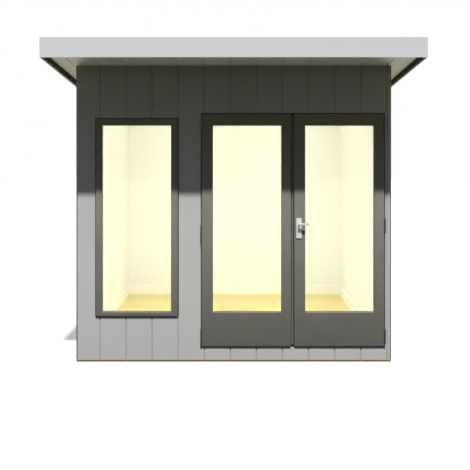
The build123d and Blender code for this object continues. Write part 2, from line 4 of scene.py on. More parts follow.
import bmesh
import bpy
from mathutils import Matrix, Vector


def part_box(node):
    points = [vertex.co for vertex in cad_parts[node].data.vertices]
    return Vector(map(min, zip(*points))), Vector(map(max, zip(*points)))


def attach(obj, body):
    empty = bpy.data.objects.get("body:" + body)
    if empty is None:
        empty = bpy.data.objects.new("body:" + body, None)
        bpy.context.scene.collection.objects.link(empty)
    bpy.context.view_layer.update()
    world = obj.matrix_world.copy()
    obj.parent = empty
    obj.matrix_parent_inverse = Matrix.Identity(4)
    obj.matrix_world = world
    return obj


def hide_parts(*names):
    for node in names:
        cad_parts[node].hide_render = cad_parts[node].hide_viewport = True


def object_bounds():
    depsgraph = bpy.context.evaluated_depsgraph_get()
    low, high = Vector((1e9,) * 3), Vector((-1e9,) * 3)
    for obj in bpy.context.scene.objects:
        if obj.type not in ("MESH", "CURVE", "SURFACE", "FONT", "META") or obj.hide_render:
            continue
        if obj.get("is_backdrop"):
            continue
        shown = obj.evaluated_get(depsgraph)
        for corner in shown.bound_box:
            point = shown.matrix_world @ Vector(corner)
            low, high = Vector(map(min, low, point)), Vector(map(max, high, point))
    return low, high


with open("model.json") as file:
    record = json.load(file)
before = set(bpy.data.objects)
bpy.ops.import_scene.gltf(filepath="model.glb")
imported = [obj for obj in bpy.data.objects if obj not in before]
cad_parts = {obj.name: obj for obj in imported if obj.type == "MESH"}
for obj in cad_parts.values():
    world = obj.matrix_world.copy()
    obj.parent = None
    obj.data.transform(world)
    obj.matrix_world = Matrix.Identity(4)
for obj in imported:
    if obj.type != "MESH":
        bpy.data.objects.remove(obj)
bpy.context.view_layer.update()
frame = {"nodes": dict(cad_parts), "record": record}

# The garden office pod: its finishes, the small parts that dress it, the light and the
# camera. Metres, in the frame of the CAD model: +X right, +Y back, +Z up.

# Places read from the CAD model's own boxes
cladding_low, cladding_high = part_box("front_cladding")
window_low, window_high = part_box("window_frame")
left_leaf_low, left_leaf_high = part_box("left_door_frame")
right_leaf_low, right_leaf_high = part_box("right_door_frame")
strip_low, strip_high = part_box("meeting_strip")
roof_low, roof_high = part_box("roof_covering")
cylinder_low, cylinder_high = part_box("lock_cylinder")
plate_low, plate_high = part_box("backplates")

# Sizes of the boards and the joinery, in metres
board_pitch = 0.2
first_groove_from_corner = 0.185
corner_bevel = 0.0135
cladding_thickness = 0.018
glass_lip = 0.012
window_gap = 0.005
door_gap = 0.007
stop_gap = 0.005
side_face = cladding_high.x
front_face = cladding_low.y
first_groove = -side_face + first_groove_from_corner


# Shader building
def shade(hex_colour):
    """An sRGB hex colour as the linear colour that a shader socket takes."""
    channels = []
    for start in (1, 3, 5):
        value = int(hex_colour[start:start + 2], 16) / 255
        channels.append(value / 12.92 if value <= 0.04045 else ((value + 0.055) / 1.055) ** 2.4)
    return (*channels, 1.0)


def add_node(tree, kind, settings=(), inputs=()):
    """A node of the given kind, with its settings, and a value or a link for each input named."""
    node = tree.nodes.new(kind)
    for name, value in dict(settings).items():
        setattr(node, name, value)
    for name, value in dict(inputs).items():
        if isinstance(value, bpy.types.NodeSocket):
            tree.links.new(value, node.inputs[name])
        else:
            node.inputs[name].default_value = value
    return node


def new_material(name):
    """An empty node material and its tree."""
    material = bpy.data.materials.new(name)
    material.use_nodes = True
    material.node_tree.nodes.clear()
    return material, material.node_tree


def place(tree):
    """The X, Y and Z of a point on the object, in metres."""
    where = add_node(tree, "ShaderNodeTexCoord")
    return add_node(tree, "ShaderNodeSeparateXYZ", {}, {0: where.outputs["Object"]}).outputs


def patches(tree, width, stretch=(1, 1, 1), detail=3.0):
    """Soft patches from 0 to 1: each is width metres wide, times the stretch on each axis."""
    where = add_node(tree, "ShaderNodeTexCoord")
    mapping = add_node(tree, "ShaderNodeMapping", {}, {
        "Vector": where.outputs["Object"], "Scale": [1 / (width * s) for s in stretch]})
    noise = add_node(tree, "ShaderNodeTexNoise", {}, {
        "Vector": mapping.outputs[0], "Scale": 1.0, "Detail": detail})
    return noise.outputs["Fac"]


def along(axis):
    """Stretch of grain and brush marks, thirty times as long as wide, that run along one axis."""
    return [30.0 if number == axis else 1.0 for number in range(3)]


def tinted(tree, tone, dark, light):
    """Dark where the tone is low and light where it is high, over the middle of its range."""
    spread = add_node(tree, "ShaderNodeMapRange", {}, {
        "Value": tone, "From Min": 0.3, "From Max": 0.7})
    return add_node(tree, "ShaderNodeMix", {"data_type": "RGBA"}, {
        0: spread.outputs[0], 6: shade(dark), 7: shade(light)}).outputs[2]


def board_by_board(tree, tone, position, start, pitch):
    """The tone with a random step of its own for each board, counted from start along an axis."""
    from_start = add_node(tree, "ShaderNodeMath", {"operation": "SUBTRACT"}, {
        0: position, 1: start})
    board = add_node(tree, "ShaderNodeMath", {"operation": "SNAP"}, {
        0: from_start.outputs[0], 1: pitch})
    step = add_node(tree, "ShaderNodeTexWhiteNoise", {"noise_dimensions": "1D"}, {
        "W": board.outputs[0]})
    return add_node(tree, "ShaderNodeMix", {}, {
        0: 0.4, 2: tone, 3: step.outputs["Value"]}).outputs[0]


def painted_shade_towards_roof(tree, colour, height, strength):
    """The colour, darker and more olive towards the roof: painted shade under the overhang."""
    roof_shade = add_node(tree, "ShaderNodeMapRange", {}, {
        "Value": height, "From Min": 1.4, "From Max": 2.0, "To Min": 0.0, "To Max": strength})
    # Painted shade: multiplies in the olive #E4E2BC, more towards the roof.
    return add_node(tree, "ShaderNodeMix", {"data_type": "RGBA", "blend_type": "MULTIPLY"}, {
        0: roof_shade.outputs[0], 6: colour, 7: shade("#E4E2BC")}).outputs[2]


def coat(tree, colour, relief, strength, depth, values):
    """Ends a finish: its colour, over a relief that is depth metres deep, in one surface."""
    bump = add_node(tree, "ShaderNodeBump", {}, {
        "Height": relief, "Strength": strength, "Distance": depth})
    shader = add_node(tree, "ShaderNodeBsdfPrincipled", {}, {
        **values, "Base Color": colour, "Normal": bump.outputs[0]})
    add_node(tree, "ShaderNodeOutputMaterial", {}, {"Surface": shader.outputs[0]})


# Satin paint brushed on planed boards: marks of the brush and a trace of the grain along
# each board, and one board a shade off the next. The walls go a shade darker to the foot;
# painted shade darkens and yellows their top under the overhang and darkens the corner bevels.
def board_paint(name, dark, light, grain_axis, across_axis, start, corners=False):
    material, tree = new_material(name)
    spot = place(tree)
    tone = board_by_board(tree, patches(tree, 0.30, detail=2.0), spot[across_axis], start,
                          board_pitch)
    colour = tinted(tree, tone, dark, light)
    # Painted shade: the corner bevels are darkened to #787876.
    if corners:
        from_middle = add_node(tree, "ShaderNodeMath", {"operation": "ABSOLUTE"}, {0: spot[0]})
        bevel = add_node(tree, "ShaderNodeMath", {"operation": "GREATER_THAN"}, {
            0: from_middle.outputs[0], 1: side_face - corner_bevel})
        colour = add_node(tree, "ShaderNodeMix", {"data_type": "RGBA"}, {
            0: bevel.outputs[0], 6: colour, 7: shade("#787876")}).outputs[2]
    # A shade darker towards the foot, by up to 8 per cent below 0.6 m.
    darker_at_foot = add_node(tree, "ShaderNodeMapRange", {}, {
        "Value": spot[2], "From Min": 0.1, "From Max": 0.6, "To Min": 0.92, "To Max": 1.0})
    colour = add_node(tree, "ShaderNodeHueSaturation", {}, {
        "Color": colour, "Value": darker_at_foot.outputs[0]}).outputs[0]
    # Painted shade towards the roof, at 0.4 of its full strength.
    coat(tree, painted_shade_towards_roof(tree, colour, spot[2], 0.4), patches(tree, 0.008, along(grain_axis)),
         strength=0.10, depth=0.001, values={"Roughness": 0.5, "Specular IOR Level": 0.06})
    return material


# The same paint on a single long board, in another shade of it: pale on the fascia boards and
# the skirting, nearly black on the barge boards.
def edge_board_paint(name, dark, light, grain_axis):
    material, tree = new_material(name)
    colour = tinted(tree, patches(tree, 0.40, along(grain_axis), 2.0), dark, light)
    coat(tree, colour, patches(tree, 0.008, along(grain_axis)), strength=0.10, depth=0.001,
         values={"Roughness": 0.5, "Specular IOR Level": 0.06})
    return material


# Satin paint on planed joinery: the brush ran along the stiles and across the rails, and a
# hairline shows where they meet. A painted sheen lightens it with height above a dark foot,
# and painted shade darkens and yellows its top under the overhang.
def joinery_paint(name, glass_node):
    material, tree = new_material(name)
    spot = place(tree)
    glass_low, glass_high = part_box(glass_node)
    middle = (glass_low.x + glass_high.x) / 2
    half = (glass_high.x - glass_low.x) / 2 - glass_lip
    rail = add_node(tree, "ShaderNodeMath", {"operation": "COMPARE"}, {
        0: spot[0], 1: middle, 2: half})
    marks = add_node(tree, "ShaderNodeMix", {}, {
        0: rail.outputs[0], 2: patches(tree, 0.006, along(2)), 3: patches(tree, 0.006, along(0))})
    off_middle = add_node(tree, "ShaderNodeMath", {"operation": "SUBTRACT"}, {
        0: spot[0], 1: middle})
    from_middle = add_node(tree, "ShaderNodeMath", {"operation": "ABSOLUTE"}, {
        0: off_middle.outputs[0]})
    shoulder = add_node(tree, "ShaderNodeMath", {"operation": "COMPARE"}, {
        0: from_middle.outputs[0], 1: half, 2: 0.0006})
    relief = add_node(tree, "ShaderNodeMath", {"operation": "SUBTRACT"}, {
        0: marks.outputs[0], 1: shoulder.outputs[0]})
    # Painted sheen: the colour brightens with height, from 0.64 at 0.1 m to 1.32 at 1.15 m.
    painted_sheen_by_height = add_node(tree, "ShaderNodeMapRange", {}, {
        "Value": spot[2], "From Min": 0.1, "From Max": 1.15, "To Min": 0.64, "To Max": 1.32})
    colour = add_node(tree, "ShaderNodeHueSaturation", {}, {
        "Color": tinted(tree, patches(tree, 0.25, detail=2.0), "#6C6C65", "#717169"),
        "Value": painted_sheen_by_height.outputs[0]})
    # Painted shade towards the roof, at full strength on the joinery.
    coat(tree, painted_shade_towards_roof(tree, colour.outputs[0], spot[2], 1.0), relief.outputs[0],
         strength=0.12, depth=0.001, values={"Roughness": 0.42, "Specular IOR Level": 0.08})
    return material


# Pale emulsion rolled on sheets of board: a fine stipple, with a filled joint at the middle.
def lining_paint(name, axis):
    material, tree = new_material(name)
    joint = add_node(tree, "ShaderNodeMath", {"operation": "COMPARE"}, {
        0: place(tree)[axis], 1: 0.0, 2: 0.0025})
    colour = add_node(tree, "ShaderNodeMix", {"data_type": "RGBA"}, {
        0: joint.outputs[0], 7: shade("#E2E1DC"),
        6: tinted(tree, patches(tree, 0.5, detail=2.0), "#F0EFEA", "#F3F2EE")})
    relief = add_node(tree, "ShaderNodeMath", {"operation": "SUBTRACT"}, {
        0: patches(tree, 0.0025), 1: joint.outputs[0]})
    coat(tree, colour.outputs[2], relief.outputs[0], strength=0.12, depth=0.0006,
         values={"Roughness": 0.75, "Specular IOR Level": 0.2})
    return material


# Lacquered softwood boards, 120 mm wide across the joists: long grain in each board, a
# shade of its own for each, and a dark hairline at the tongues.
def lacquered_boards():
    material, tree = new_material("lacquered_softwood_floor")
    width = 0.12
    across = place(tree)[1]
    grain = patches(tree, 0.012, along(0), 5.0)
    boards = tinted(tree, board_by_board(tree, grain, across, 0.0, width), "#E0C762", "#EFDC7F")
    from_joint = add_node(tree, "ShaderNodeMath", {"operation": "WRAP"}, {
        0: across, 1: width / 2, 2: -width / 2})
    joint = add_node(tree, "ShaderNodeMath", {"operation": "COMPARE"}, {
        0: from_joint.outputs[0], 1: 0.0, 2: 0.0015})
    colour = add_node(tree, "ShaderNodeMix", {"data_type": "RGBA"}, {
        0: joint.outputs[0], 6: boards, 7: shade("#C0A84F")})
    relief = add_node(tree, "ShaderNodeMath", {"operation": "SUBTRACT"}, {
        0: grain, 1: joint.outputs[0]})
    coat(tree, colour.outputs[2], relief.outputs[0], strength=0.2, depth=0.001,
         values={"Roughness": 0.35, "Specular IOR Level": 0.35})
    return material


# Timber straight from the saw: fibres stand up along the board, darker bands of late wood,
# and a dry matt face. Treatment leaves it brown, a wall frame keeps its straw colour.
def sawn_timber(name, dark, light, grain_axis):
    material, tree = new_material(name)
    colour = tinted(tree, patches(tree, 0.012, along(grain_axis), 4.0), dark, light)
    coat(tree, colour, patches(tree, 0.0015, along(grain_axis)), strength=0.5, depth=0.001,
         values={"Roughness": 0.85, "Specular IOR Level": 0.2})
    return material


# Rubber sheet, rolled: a dusty bloom in soft patches over a fine pebble.
def rubber_sheet(name, dark, light, roughness):
    material, tree = new_material(name)
    coat(tree, tinted(tree, patches(tree, 0.18, detail=5.0), dark, light),
         patches(tree, 0.002), strength=0.3, depth=0.0005, values={"Roughness": roughness})
    return material


# Powder coat on pressed steel: an orange peel of 2 mm and a low sheen.
def powder_coat(name, dark, light):
    material, tree = new_material(name)
    coat(tree, tinted(tree, patches(tree, 0.03), dark, light),
         patches(tree, 0.002, detail=1.0), strength=0.15, depth=0.0003,
         values={"Roughness": 0.45})
    return material


# Aluminium, brushed and then anodised: fine lines along one axis, drawn a little coarser than
# real ones so that they show, under a clear skin that scatters the light and looks nearly matt.
def anodised_aluminium(name, dark, light, grain_axis):
    material, tree = new_material(name)
    coat(tree, tinted(tree, patches(tree, 0.02, along(grain_axis)), dark, light),
         patches(tree, 0.0007, along(grain_axis), 2.0), strength=0.25, depth=0.0002,
         values={"Roughness": 0.55, "Metallic": 0.12, "Specular IOR Level": 0.25})
    return material


# Clear float glass: flat, smooth and faintly green. Sunlight goes straight through.
def float_glass():
    material, tree = new_material("clear_float_glass")
    pane = add_node(tree, "ShaderNodeBsdfPrincipled", {}, {
        "Base Color": shade("#FBFEFC"), "Roughness": 0.0, "IOR": 1.45,
        "Specular IOR Level": 0.25, "Transmission Weight": 1.0})
    sunlit = add_node(tree, "ShaderNodeBsdfTransparent", {}, {"Color": shade("#F2F6F3")})
    rays = add_node(tree, "ShaderNodeLightPath")
    shader = add_node(tree, "ShaderNodeMixShader", {}, {
        0: rays.outputs["Is Shadow Ray"], 1: pane.outputs[0], 2: sunlit.outputs[0]})
    add_node(tree, "ShaderNodeOutputMaterial", {}, {"Surface": shader.outputs[0]})
    return material


# The front boards take the painted shade on their corner bevels.
front_boards = board_paint("satin_painted_front_boards", "#B4B4B2", "#B9B9B7", 2, 0,
                           first_groove, corners=True)
side_boards = board_paint("satin_painted_side_boards", "#B4B4B2", "#B9B9B7", 2, 1,
                          cladding_low.y + board_pitch)
front_soffit_boards = board_paint("satin_painted_soffit_boards", "#B9B5A9", "#BEBAAE", 1, 0,
                                  first_groove)
side_soffit_boards = board_paint("satin_painted_side_soffit_boards", "#B5B5A4", "#BABAA9", 0, 1,
                                 cladding_low.y)
fascia_paint = edge_board_paint("satin_painted_fascia", "#CBCBCD", "#D0D0D1", 0)
barge_paint = edge_board_paint("satin_painted_barge_boards", "#26261F", "#2B2B24", 1)
window_paint = joinery_paint("satin_painted_window_joinery", "window_glass")
left_leaf_paint = joinery_paint("satin_painted_left_leaf", "left_door_glass")
right_leaf_paint = joinery_paint("satin_painted_right_leaf", "right_door_glass")
door_frame_paint = edge_board_paint("satin_painted_door_frame", "#65655D", "#69695F", 2)
end_lining_paint = lining_paint("emulsion_on_end_linings", 0)
side_lining_paint = lining_paint("emulsion_on_side_linings", 1)
skirting_paint = edge_board_paint("eggshell_painted_skirting", "#F6F5EF", "#F9F8F3", 0)
floor_finish = lacquered_boards()
treated_timber = sawn_timber("pressure_treated_timber", "#86693E", "#A9854F", 0)
treated_side_timber = sawn_timber("pressure_treated_side_timber", "#86693E", "#A9854F", 1)
frame_timber = sawn_timber("sawn_wall_timber", "#B59A6C", "#C7AD80", 2)
membrane = rubber_sheet("rubber_roof_membrane", "#28292A", "#3A3B3C", 0.7)
seal_rubber = rubber_sheet("extruded_rubber_seal", "#121211", "#1A1A19", 0.8)
hinge_coat = powder_coat("powder_coated_steel", "#30312E", "#383935")
plate_metal = anodised_aluminium("anodised_aluminium_plate", "#CDCDC9", "#D9D9D5", 2)
lever_metal = anodised_aluminium("anodised_aluminium_lever", "#BABAB6", "#C4C4C0", 0)
glass = float_glass()

finishes = {
    "sawn_timber": treated_timber,
    "floor_timber": floor_finish,
    "wall_frame_timber": frame_timber,
    "painted_cladding": front_boards,
    "painted_lining": end_lining_paint,
    "roof_board": frame_timber,
    "roof_membrane": membrane,
    "painted_fascia": fascia_paint,
    "painted_joinery": door_frame_paint,
    "glazing": glass,
    "dark_hinges": hinge_coat,
    "satin_metal": plate_metal,
}
node_finishes = {
    "left_cladding": side_boards,
    "right_cladding": side_boards,
    "front_soffit": front_soffit_boards,
    "back_soffit": front_soffit_boards,
    "side_soffits": side_soffit_boards,
    "left_barge_board": barge_paint,
    "right_barge_board": barge_paint,
    "left_lining": side_lining_paint,
    "right_lining": side_lining_paint,
    "skirting": skirting_paint,
    "window_frame": window_paint,
    "window_beads": window_paint,
    "left_door_frame": left_leaf_paint,
    "left_door_beads": left_leaf_paint,
    "right_door_frame": right_leaf_paint,
    "right_door_beads": right_leaf_paint,
    "lever_handle": lever_metal,
}


def dress(node, material):
    """Gives a CAD node one material in all its slots."""
    slots = frame["nodes"][node].material_slots
    if not slots:
        frame["nodes"][node].data.materials.append(material)
    for slot in slots:
        slot.material = material


for row in frame["record"]["subparts"]:
    dress(row["node"], node_finishes.get(row["node"], finishes[row["material_slot"]]))


# Mesh building
def piece(name, points, faces, body, materials, bevel=0.0):
    """A closed mesh object on a body, with outward faces and, if asked, eased edges."""
    shape = bmesh.new()
    corners = [shape.verts.new(point) for point in points]
    for face in faces:
        shape.faces.new([corners[number] for number in face])
    bmesh.ops.recalc_face_normals(shape, faces=shape.faces)
    if bevel:
        bmesh.ops.bevel(shape, geom=shape.edges[:], offset=bevel, segments=1, affect="EDGES")
    mesh = bpy.data.meshes.new(name)
    shape.to_mesh(mesh)
    shape.free()
    return mount(bpy.data.objects.new(name, mesh), body, materials)


def mount(obj, body, materials):
    """Links an object, gives it its materials and rides it on its body."""
    bpy.context.scene.collection.objects.link(obj)
    for material in materials:
        obj.data.materials.append(material)
    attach(obj, body)
    return obj


def box_points(low, high):
    """The corners of a box, for the faces that box_faces gives."""
    return [(x, y, z) for x in (low[0], high[0]) for y in (low[1], high[1])
            for z in (low[2], high[2])]


def box_faces(first):
    """The six sides of a box whose corners start at the number first."""
    sides = ((0, 1, 3, 2), (4, 6, 7, 5), (0, 4, 5, 1), (2, 3, 7, 6), (0, 2, 6, 4), (1, 5, 7, 3))
    return [[first + corner for corner in side] for side in sides]


def boxes(name, limits, body, materials, bevel):
    """Several boxes as one piece."""
    points, faces = [], []
    for low, high in limits:
        faces += box_faces(len(points))
        points += box_points(low, high)
    return piece(name, points, faces, body, materials, bevel)


def mitred_ring(name, low, high, profile, body, materials):
    """A profile of (inset, y) points run round an upright rectangle, mitred at its corners."""
    corners = ((low[0], low[2], 1, 1), (high[0], low[2], -1, 1),
               (high[0], high[2], -1, -1), (low[0], high[2], 1, -1))
    points = [(x + inset * x_in, y, z + inset * z_in)
              for x, z, x_in, z_in in corners for inset, y in profile]
    count = len(profile)
    faces = []
    for corner in range(4):
        here, there = corner * count, (corner + 1) % 4 * count
        for step in range(count):
            after = (step + 1) % count
            faces.append((here + step, here + after, there + after, there + step))
    return piece(name, points, faces, body, materials)


def upright_strip(name, profile, bottom, top, body, materials):
    """A profile of (x, y) points run upwards, closed at both ends."""
    count = len(profile)
    points = [(x, y, z) for z in (bottom, top) for x, y in profile]
    faces = [tuple(range(count)), tuple(range(count, 2 * count))]
    for step in range(count):
        after = (step + 1) % count
        faces.append((step, after, count + after, count + step))
    return piece(name, points, faces, body, materials)


# Sealed units: two panes of 4 mm glass on a black spacer with eased inner corners
pane_thickness = 0.004
pane_ease = 0.0005
spacer_height = 0.010
spacer_ease = 0.002
for node, body in (("window_glass", "pod"), ("left_door_glass", "left_door"),
                   ("right_door_glass", "right_door")):
    low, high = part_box(node)
    front_inside, back_inside = low.y + pane_thickness, high.y - pane_thickness
    panes = boxes(node.replace("glass", "panes"),
                  [(low, (high.x, front_inside, high.z)), ((low.x, back_inside, low.z), high)],
                  body, [glass], pane_ease)
    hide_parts(node)
    spacer_profile = ((0.0, front_inside), (spacer_height - spacer_ease, front_inside),
                      (spacer_height, front_inside + spacer_ease),
                      (spacer_height, back_inside - spacer_ease),
                      (spacer_height - spacer_ease, back_inside), (0.0, back_inside))
    mitred_ring(node.replace("glass", "spacer"), low, high, spacer_profile, body,
                [seal_rubber])

# Base battens: two along the front and back and two between them, set just behind the boards
batten_recess = 0.0035
batten_ease = 0.0006
batten_joint = 0.0005
batten_clearance = 0.0003
batten_x = side_face - batten_recess
batten_y = -front_face - batten_recess
inner_x = side_face - cladding_thickness
inner_y = -front_face - cladding_thickness
side_end = inner_y - batten_joint
batten_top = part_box("base_battens")[1].z - batten_clearance
long_battens = boxes("front_and_back_battens", [
    ((-batten_x, -batten_y, 0.0), (batten_x, -inner_y, batten_top)),
    ((-batten_x, inner_y, 0.0), (batten_x, batten_y, batten_top)),
], "pod", [treated_timber], batten_ease)
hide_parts("base_battens")
boxes("side_battens", [
    ((-batten_x, -side_end, 0.0), (-inner_x, side_end, batten_top)),
    ((inner_x, -side_end, 0.0), (batten_x, side_end, batten_top)),
], "pod", [treated_side_timber], batten_ease)

# Foam seal in the gap round the window frame, set back from the face of the wall
foam_front = front_face + 0.008
foam_back = front_face + 0.020
foam_ease = 0.001
foam_outer = 0.0003
foam_inner = window_gap - foam_outer
foam_profile = ((foam_outer, foam_front + foam_ease), (foam_outer + foam_ease, foam_front),
                (foam_inner - foam_ease, foam_front), (foam_inner, foam_front + foam_ease),
                (foam_inner, foam_back), (foam_outer, foam_back))
mitred_ring("window_gap_seal",
            (window_low.x - window_gap, 0, window_low.z - window_gap),
            (window_high.x + window_gap, 0, window_high.z + window_gap),
            foam_profile, "pod", [seal_rubber])

# Seals round the doors: a soft D section on the stops, just behind the leaves
seal_clearance = 0.0005
seal_back = left_leaf_high.y + stop_gap
seal_front = left_leaf_high.y + seal_clearance
seal_ease = 0.002
seal_outer = 0.010
seal_inner = 0.018
door_seal_profile = ((seal_outer, seal_back), (seal_outer, seal_front + seal_ease),
                     (seal_outer + seal_ease, seal_front), (seal_inner - seal_ease, seal_front),
                     (seal_inner, seal_front + seal_ease), (seal_inner, seal_back))
mitred_ring("door_seal",
            (left_leaf_low.x - door_gap, 0, left_leaf_low.z - door_gap),
            (right_leaf_high.x + door_gap, 0, right_leaf_high.z + door_gap),
            door_seal_profile, "pod", [seal_rubber])

# Meeting seals: thin rubber fins, the right leaf's in front of the strip's, so that the
# right leaf opens freely and the two close the gap without touching
fin_thickness = 0.002
fin_taper = 0.0005
fin_clearance = 0.0007
right_tip = strip_high.x + fin_clearance
strip_tip = right_leaf_low.x - fin_clearance
right_fin_y = strip_low.y + 0.003
strip_fin_y = strip_high.y - 0.005
for name, body, root_x, tip_x, fin_y in (
        ("right_leaf_fin", "right_door", right_leaf_low.x, right_tip, right_fin_y),
        ("meeting_strip_fin", "left_door", strip_high.x, strip_tip, strip_fin_y)):
    fin_profile = ((root_x, fin_y), (tip_x, fin_y + fin_taper),
                   (tip_x, fin_y + fin_thickness - fin_taper), (root_x, fin_y + fin_thickness))
    upright_strip(name, fin_profile, strip_low.z, strip_high.z, body,
                  [seal_rubber])

# Roof: the laps of the rubber sheets and the trim round their edges, on the slope
roof_slope = math.tan(math.radians(4.77))
trim_width = 0.045
trim_thickness = 0.0015
end_trim_thickness = 0.0018
lap_places = (-0.45, 0.45)
half_lap = 0.03
lap_thickness = 0.001
strip_bedding = 0.0005


def on_roof(x_low, x_high, y_low, y_high, thickness):
    """The corners of a flat strip that lies on the roof covering."""
    points = []
    for x in (x_low, x_high):
        for y in (y_low, y_high):
            top = roof_high.z - (y - roof_low.y) * roof_slope
            points += [(x, y, top - strip_bedding), (x, y, top + thickness)]
    return points


roof_strips = [(x - half_lap, x + half_lap, roof_low.y, roof_high.y, lap_thickness)
               for x in lap_places]
roof_strips += [
    (roof_low.x, roof_low.x + trim_width, roof_low.y, roof_high.y, trim_thickness),
    (roof_high.x - trim_width, roof_high.x, roof_low.y, roof_high.y, trim_thickness),
    (roof_low.x, roof_high.x, roof_low.y, roof_low.y + trim_width, end_trim_thickness),
    (roof_low.x, roof_high.x, roof_high.y - trim_width, roof_high.y, end_trim_thickness),
]
strip_points, strip_faces = [], []
for strip in roof_strips:
    strip_faces += box_faces(len(strip_points))
    strip_points += on_roof(*strip)
piece("roof_laps_and_trim", strip_points, strip_faces, "pod", [membrane],
      bevel=0.0004)


# Fixings, by Geometry Nodes: one head on each point, turned to face its own way
def stacked_rings(name, rings, sides):
    """A round head: each ring is (radius, radius of every other corner, height)."""
    points = []
    for radius, other_radius, height in rings:
        for corner in range(sides):
            angle = 2 * math.pi * corner / sides
            reach = other_radius if corner % 2 else radius
            points.append((reach * math.cos(angle), reach * math.sin(angle), height))
    faces = [tuple(reversed(range(sides)))]
    for ring in range(len(rings) - 1):
        for corner in range(sides):
            here, after = ring * sides + corner, ring * sides + (corner + 1) % sides
            faces.append((here, after, after + sides, here + sides))
    last = (len(rings) - 1) * sides
    faces.append(tuple(range(last, last + sides)))
    mesh = bpy.data.meshes.new(name)
    mesh.from_pydata(points, [], faces)
    return bpy.data.objects.new(name, mesh)


def fixing_tree():
    """Heads on points: each faces the point's own way, at a random turn, and is real mesh."""
    tree = bpy.data.node_groups.new("fixings", "GeometryNodeTree")
    for name, kind in (("Points", "Geometry"), ("Head", "Object"), ("Finish", "Material"),
                       ("Size", "Float"), ("Most turn", "Float"), ("Seed", "Int")):
        tree.interface.new_socket(name, in_out="INPUT", socket_type="NodeSocket" + kind)
    tree.interface.new_socket("Fixings", in_out="OUTPUT", socket_type="NodeSocketGeometry")
    given = add_node(tree, "NodeGroupInput").outputs
    head = add_node(tree, "GeometryNodeObjectInfo", {}, {"Object": given["Head"]})
    facing = add_node(tree, "GeometryNodeInputNamedAttribute", {"data_type": "FLOAT_VECTOR"}, {
        "Name": "facing"})
    outward = add_node(tree, "FunctionNodeAlignRotationToVector", {"axis": "Z"}, {
        "Vector": facing.outputs["Attribute"]})
    turn = add_node(tree, "FunctionNodeRandomValue", {"data_type": "FLOAT"}, {
        3: given["Most turn"], "Seed": given["Seed"]})
    spin = add_node(tree, "FunctionNodeAxisAngleToRotation", {}, {
        "Axis": (0, 0, 1), "Angle": turn.outputs[1]})
    turned = add_node(tree, "FunctionNodeRotateRotation", {"rotation_space": "LOCAL"}, {
        "Rotation": outward.outputs[0], "Rotate By": spin.outputs[0]})
    heads = add_node(tree, "GeometryNodeInstanceOnPoints", {}, {
        "Points": given["Points"], "Instance": head.outputs["Geometry"],
        "Rotation": turned.outputs[0], "Scale": given["Size"]})
    real = add_node(tree, "GeometryNodeRealizeInstances", {}, {0: heads.outputs[0]})
    finished = add_node(tree, "GeometryNodeSetMaterial", {}, {
        "Geometry": real.outputs[0], "Material": given["Finish"]})
    add_node(tree, "NodeGroupOutput", {}, {0: finished.outputs[0]})
    return tree


fixings = fixing_tree()


def fix(name, places, head, size, most_turn, material, body):
    """Heads at (point, facing) places, as one plain mesh on a body."""
    mesh = bpy.data.meshes.new(name + "_points")
    mesh.from_pydata([point for point, _ in places], [], [])
    facing = mesh.attributes.new("facing", "FLOAT_VECTOR", "POINT")
    for number, (_, direction) in enumerate(places):
        facing.data[number].vector = direction
    carrier = bpy.data.objects.new(name + "_points", mesh)
    bpy.context.scene.collection.objects.link(carrier)
    modifier = carrier.modifiers.new("fixings", "NODES")
    modifier.node_group = fixings
    values = {"Head": head, "Finish": material, "Size": size, "Most turn": most_turn, "Seed": 7}
    for socket in fixings.interface.items_tree:
        if socket.name in values:
            modifier[socket.identifier] = values[socket.name]
    depsgraph = bpy.context.evaluated_depsgraph_get()
    real = bpy.data.meshes.new_from_object(carrier.evaluated_get(depsgraph))
    bpy.data.objects.remove(carrier)
    return mount(bpy.data.objects.new(name, real), body, [])


# Heads of 1 m radius, sized when placed: a painted pin and a countersunk screw with a star recess
pin_head = stacked_rings("pin_head", ((1, 1, -0.05), (0.95, 0.95, 0.1), (0.5, 0.5, 0.2)), 8)
screw_head = stacked_rings("screw_head", (
    (1, 1, -0.1), (1, 1, 0.02), (0.88, 0.88, 0.08), (0.46, 0.36, 0.08), (0.40, 0.30, -0.05)), 12)

# Pins through the cladding: two in each board at each rail of the wall frame
pin_rows = (0.10, 0.62, 1.14, 1.66, 2.02)
pin_from_groove = 0.03
pin_from_joinery = 0.02
joinery_limits = [(low.x - pin_from_joinery, high.x + pin_from_joinery,
                   low.z - pin_from_joinery, high.z + pin_from_joinery)
                  for low, high in ((window_low, window_high), (left_leaf_low, right_leaf_high))]


def pin_positions(start, end, first):
    """Two positions for each board between start and end, each side of its grooves."""
    count = int((end - first) / board_pitch) + 1
    grooves = [first + number * board_pitch for number in range(count)]
    spots = [groove + side * pin_from_groove for groove in grooves for side in (-1, 1)]
    return [start + pin_from_groove] + spots + [end - pin_from_groove]


def hidden_by_joinery(x, z):
    """True where the front is cut away for the window or the doors."""
    return any(x_low < x < x_high and z_low < z < z_high
               for x_low, x_high, z_low, z_high in joinery_limits)


pin_places = []
for x in pin_positions(-side_face, side_face, first_groove):
    for z in pin_rows:
        if not hidden_by_joinery(x, z):
            pin_places.append(((x, front_face, z), (0, -1, 0)))
        pin_places.append(((-x, -front_face, z), (0, 1, 0)))
for y in pin_positions(front_face, -front_face, front_face + board_pitch):
    for z in pin_rows:
        for side in (-1, 1):
            pin_places.append(((side * side_face, y, z), (side, 0, 0)))
fix("cladding_pins", pin_places, pin_head, size=0.0022, most_turn=0.0, material=side_boards,
    body="pod")

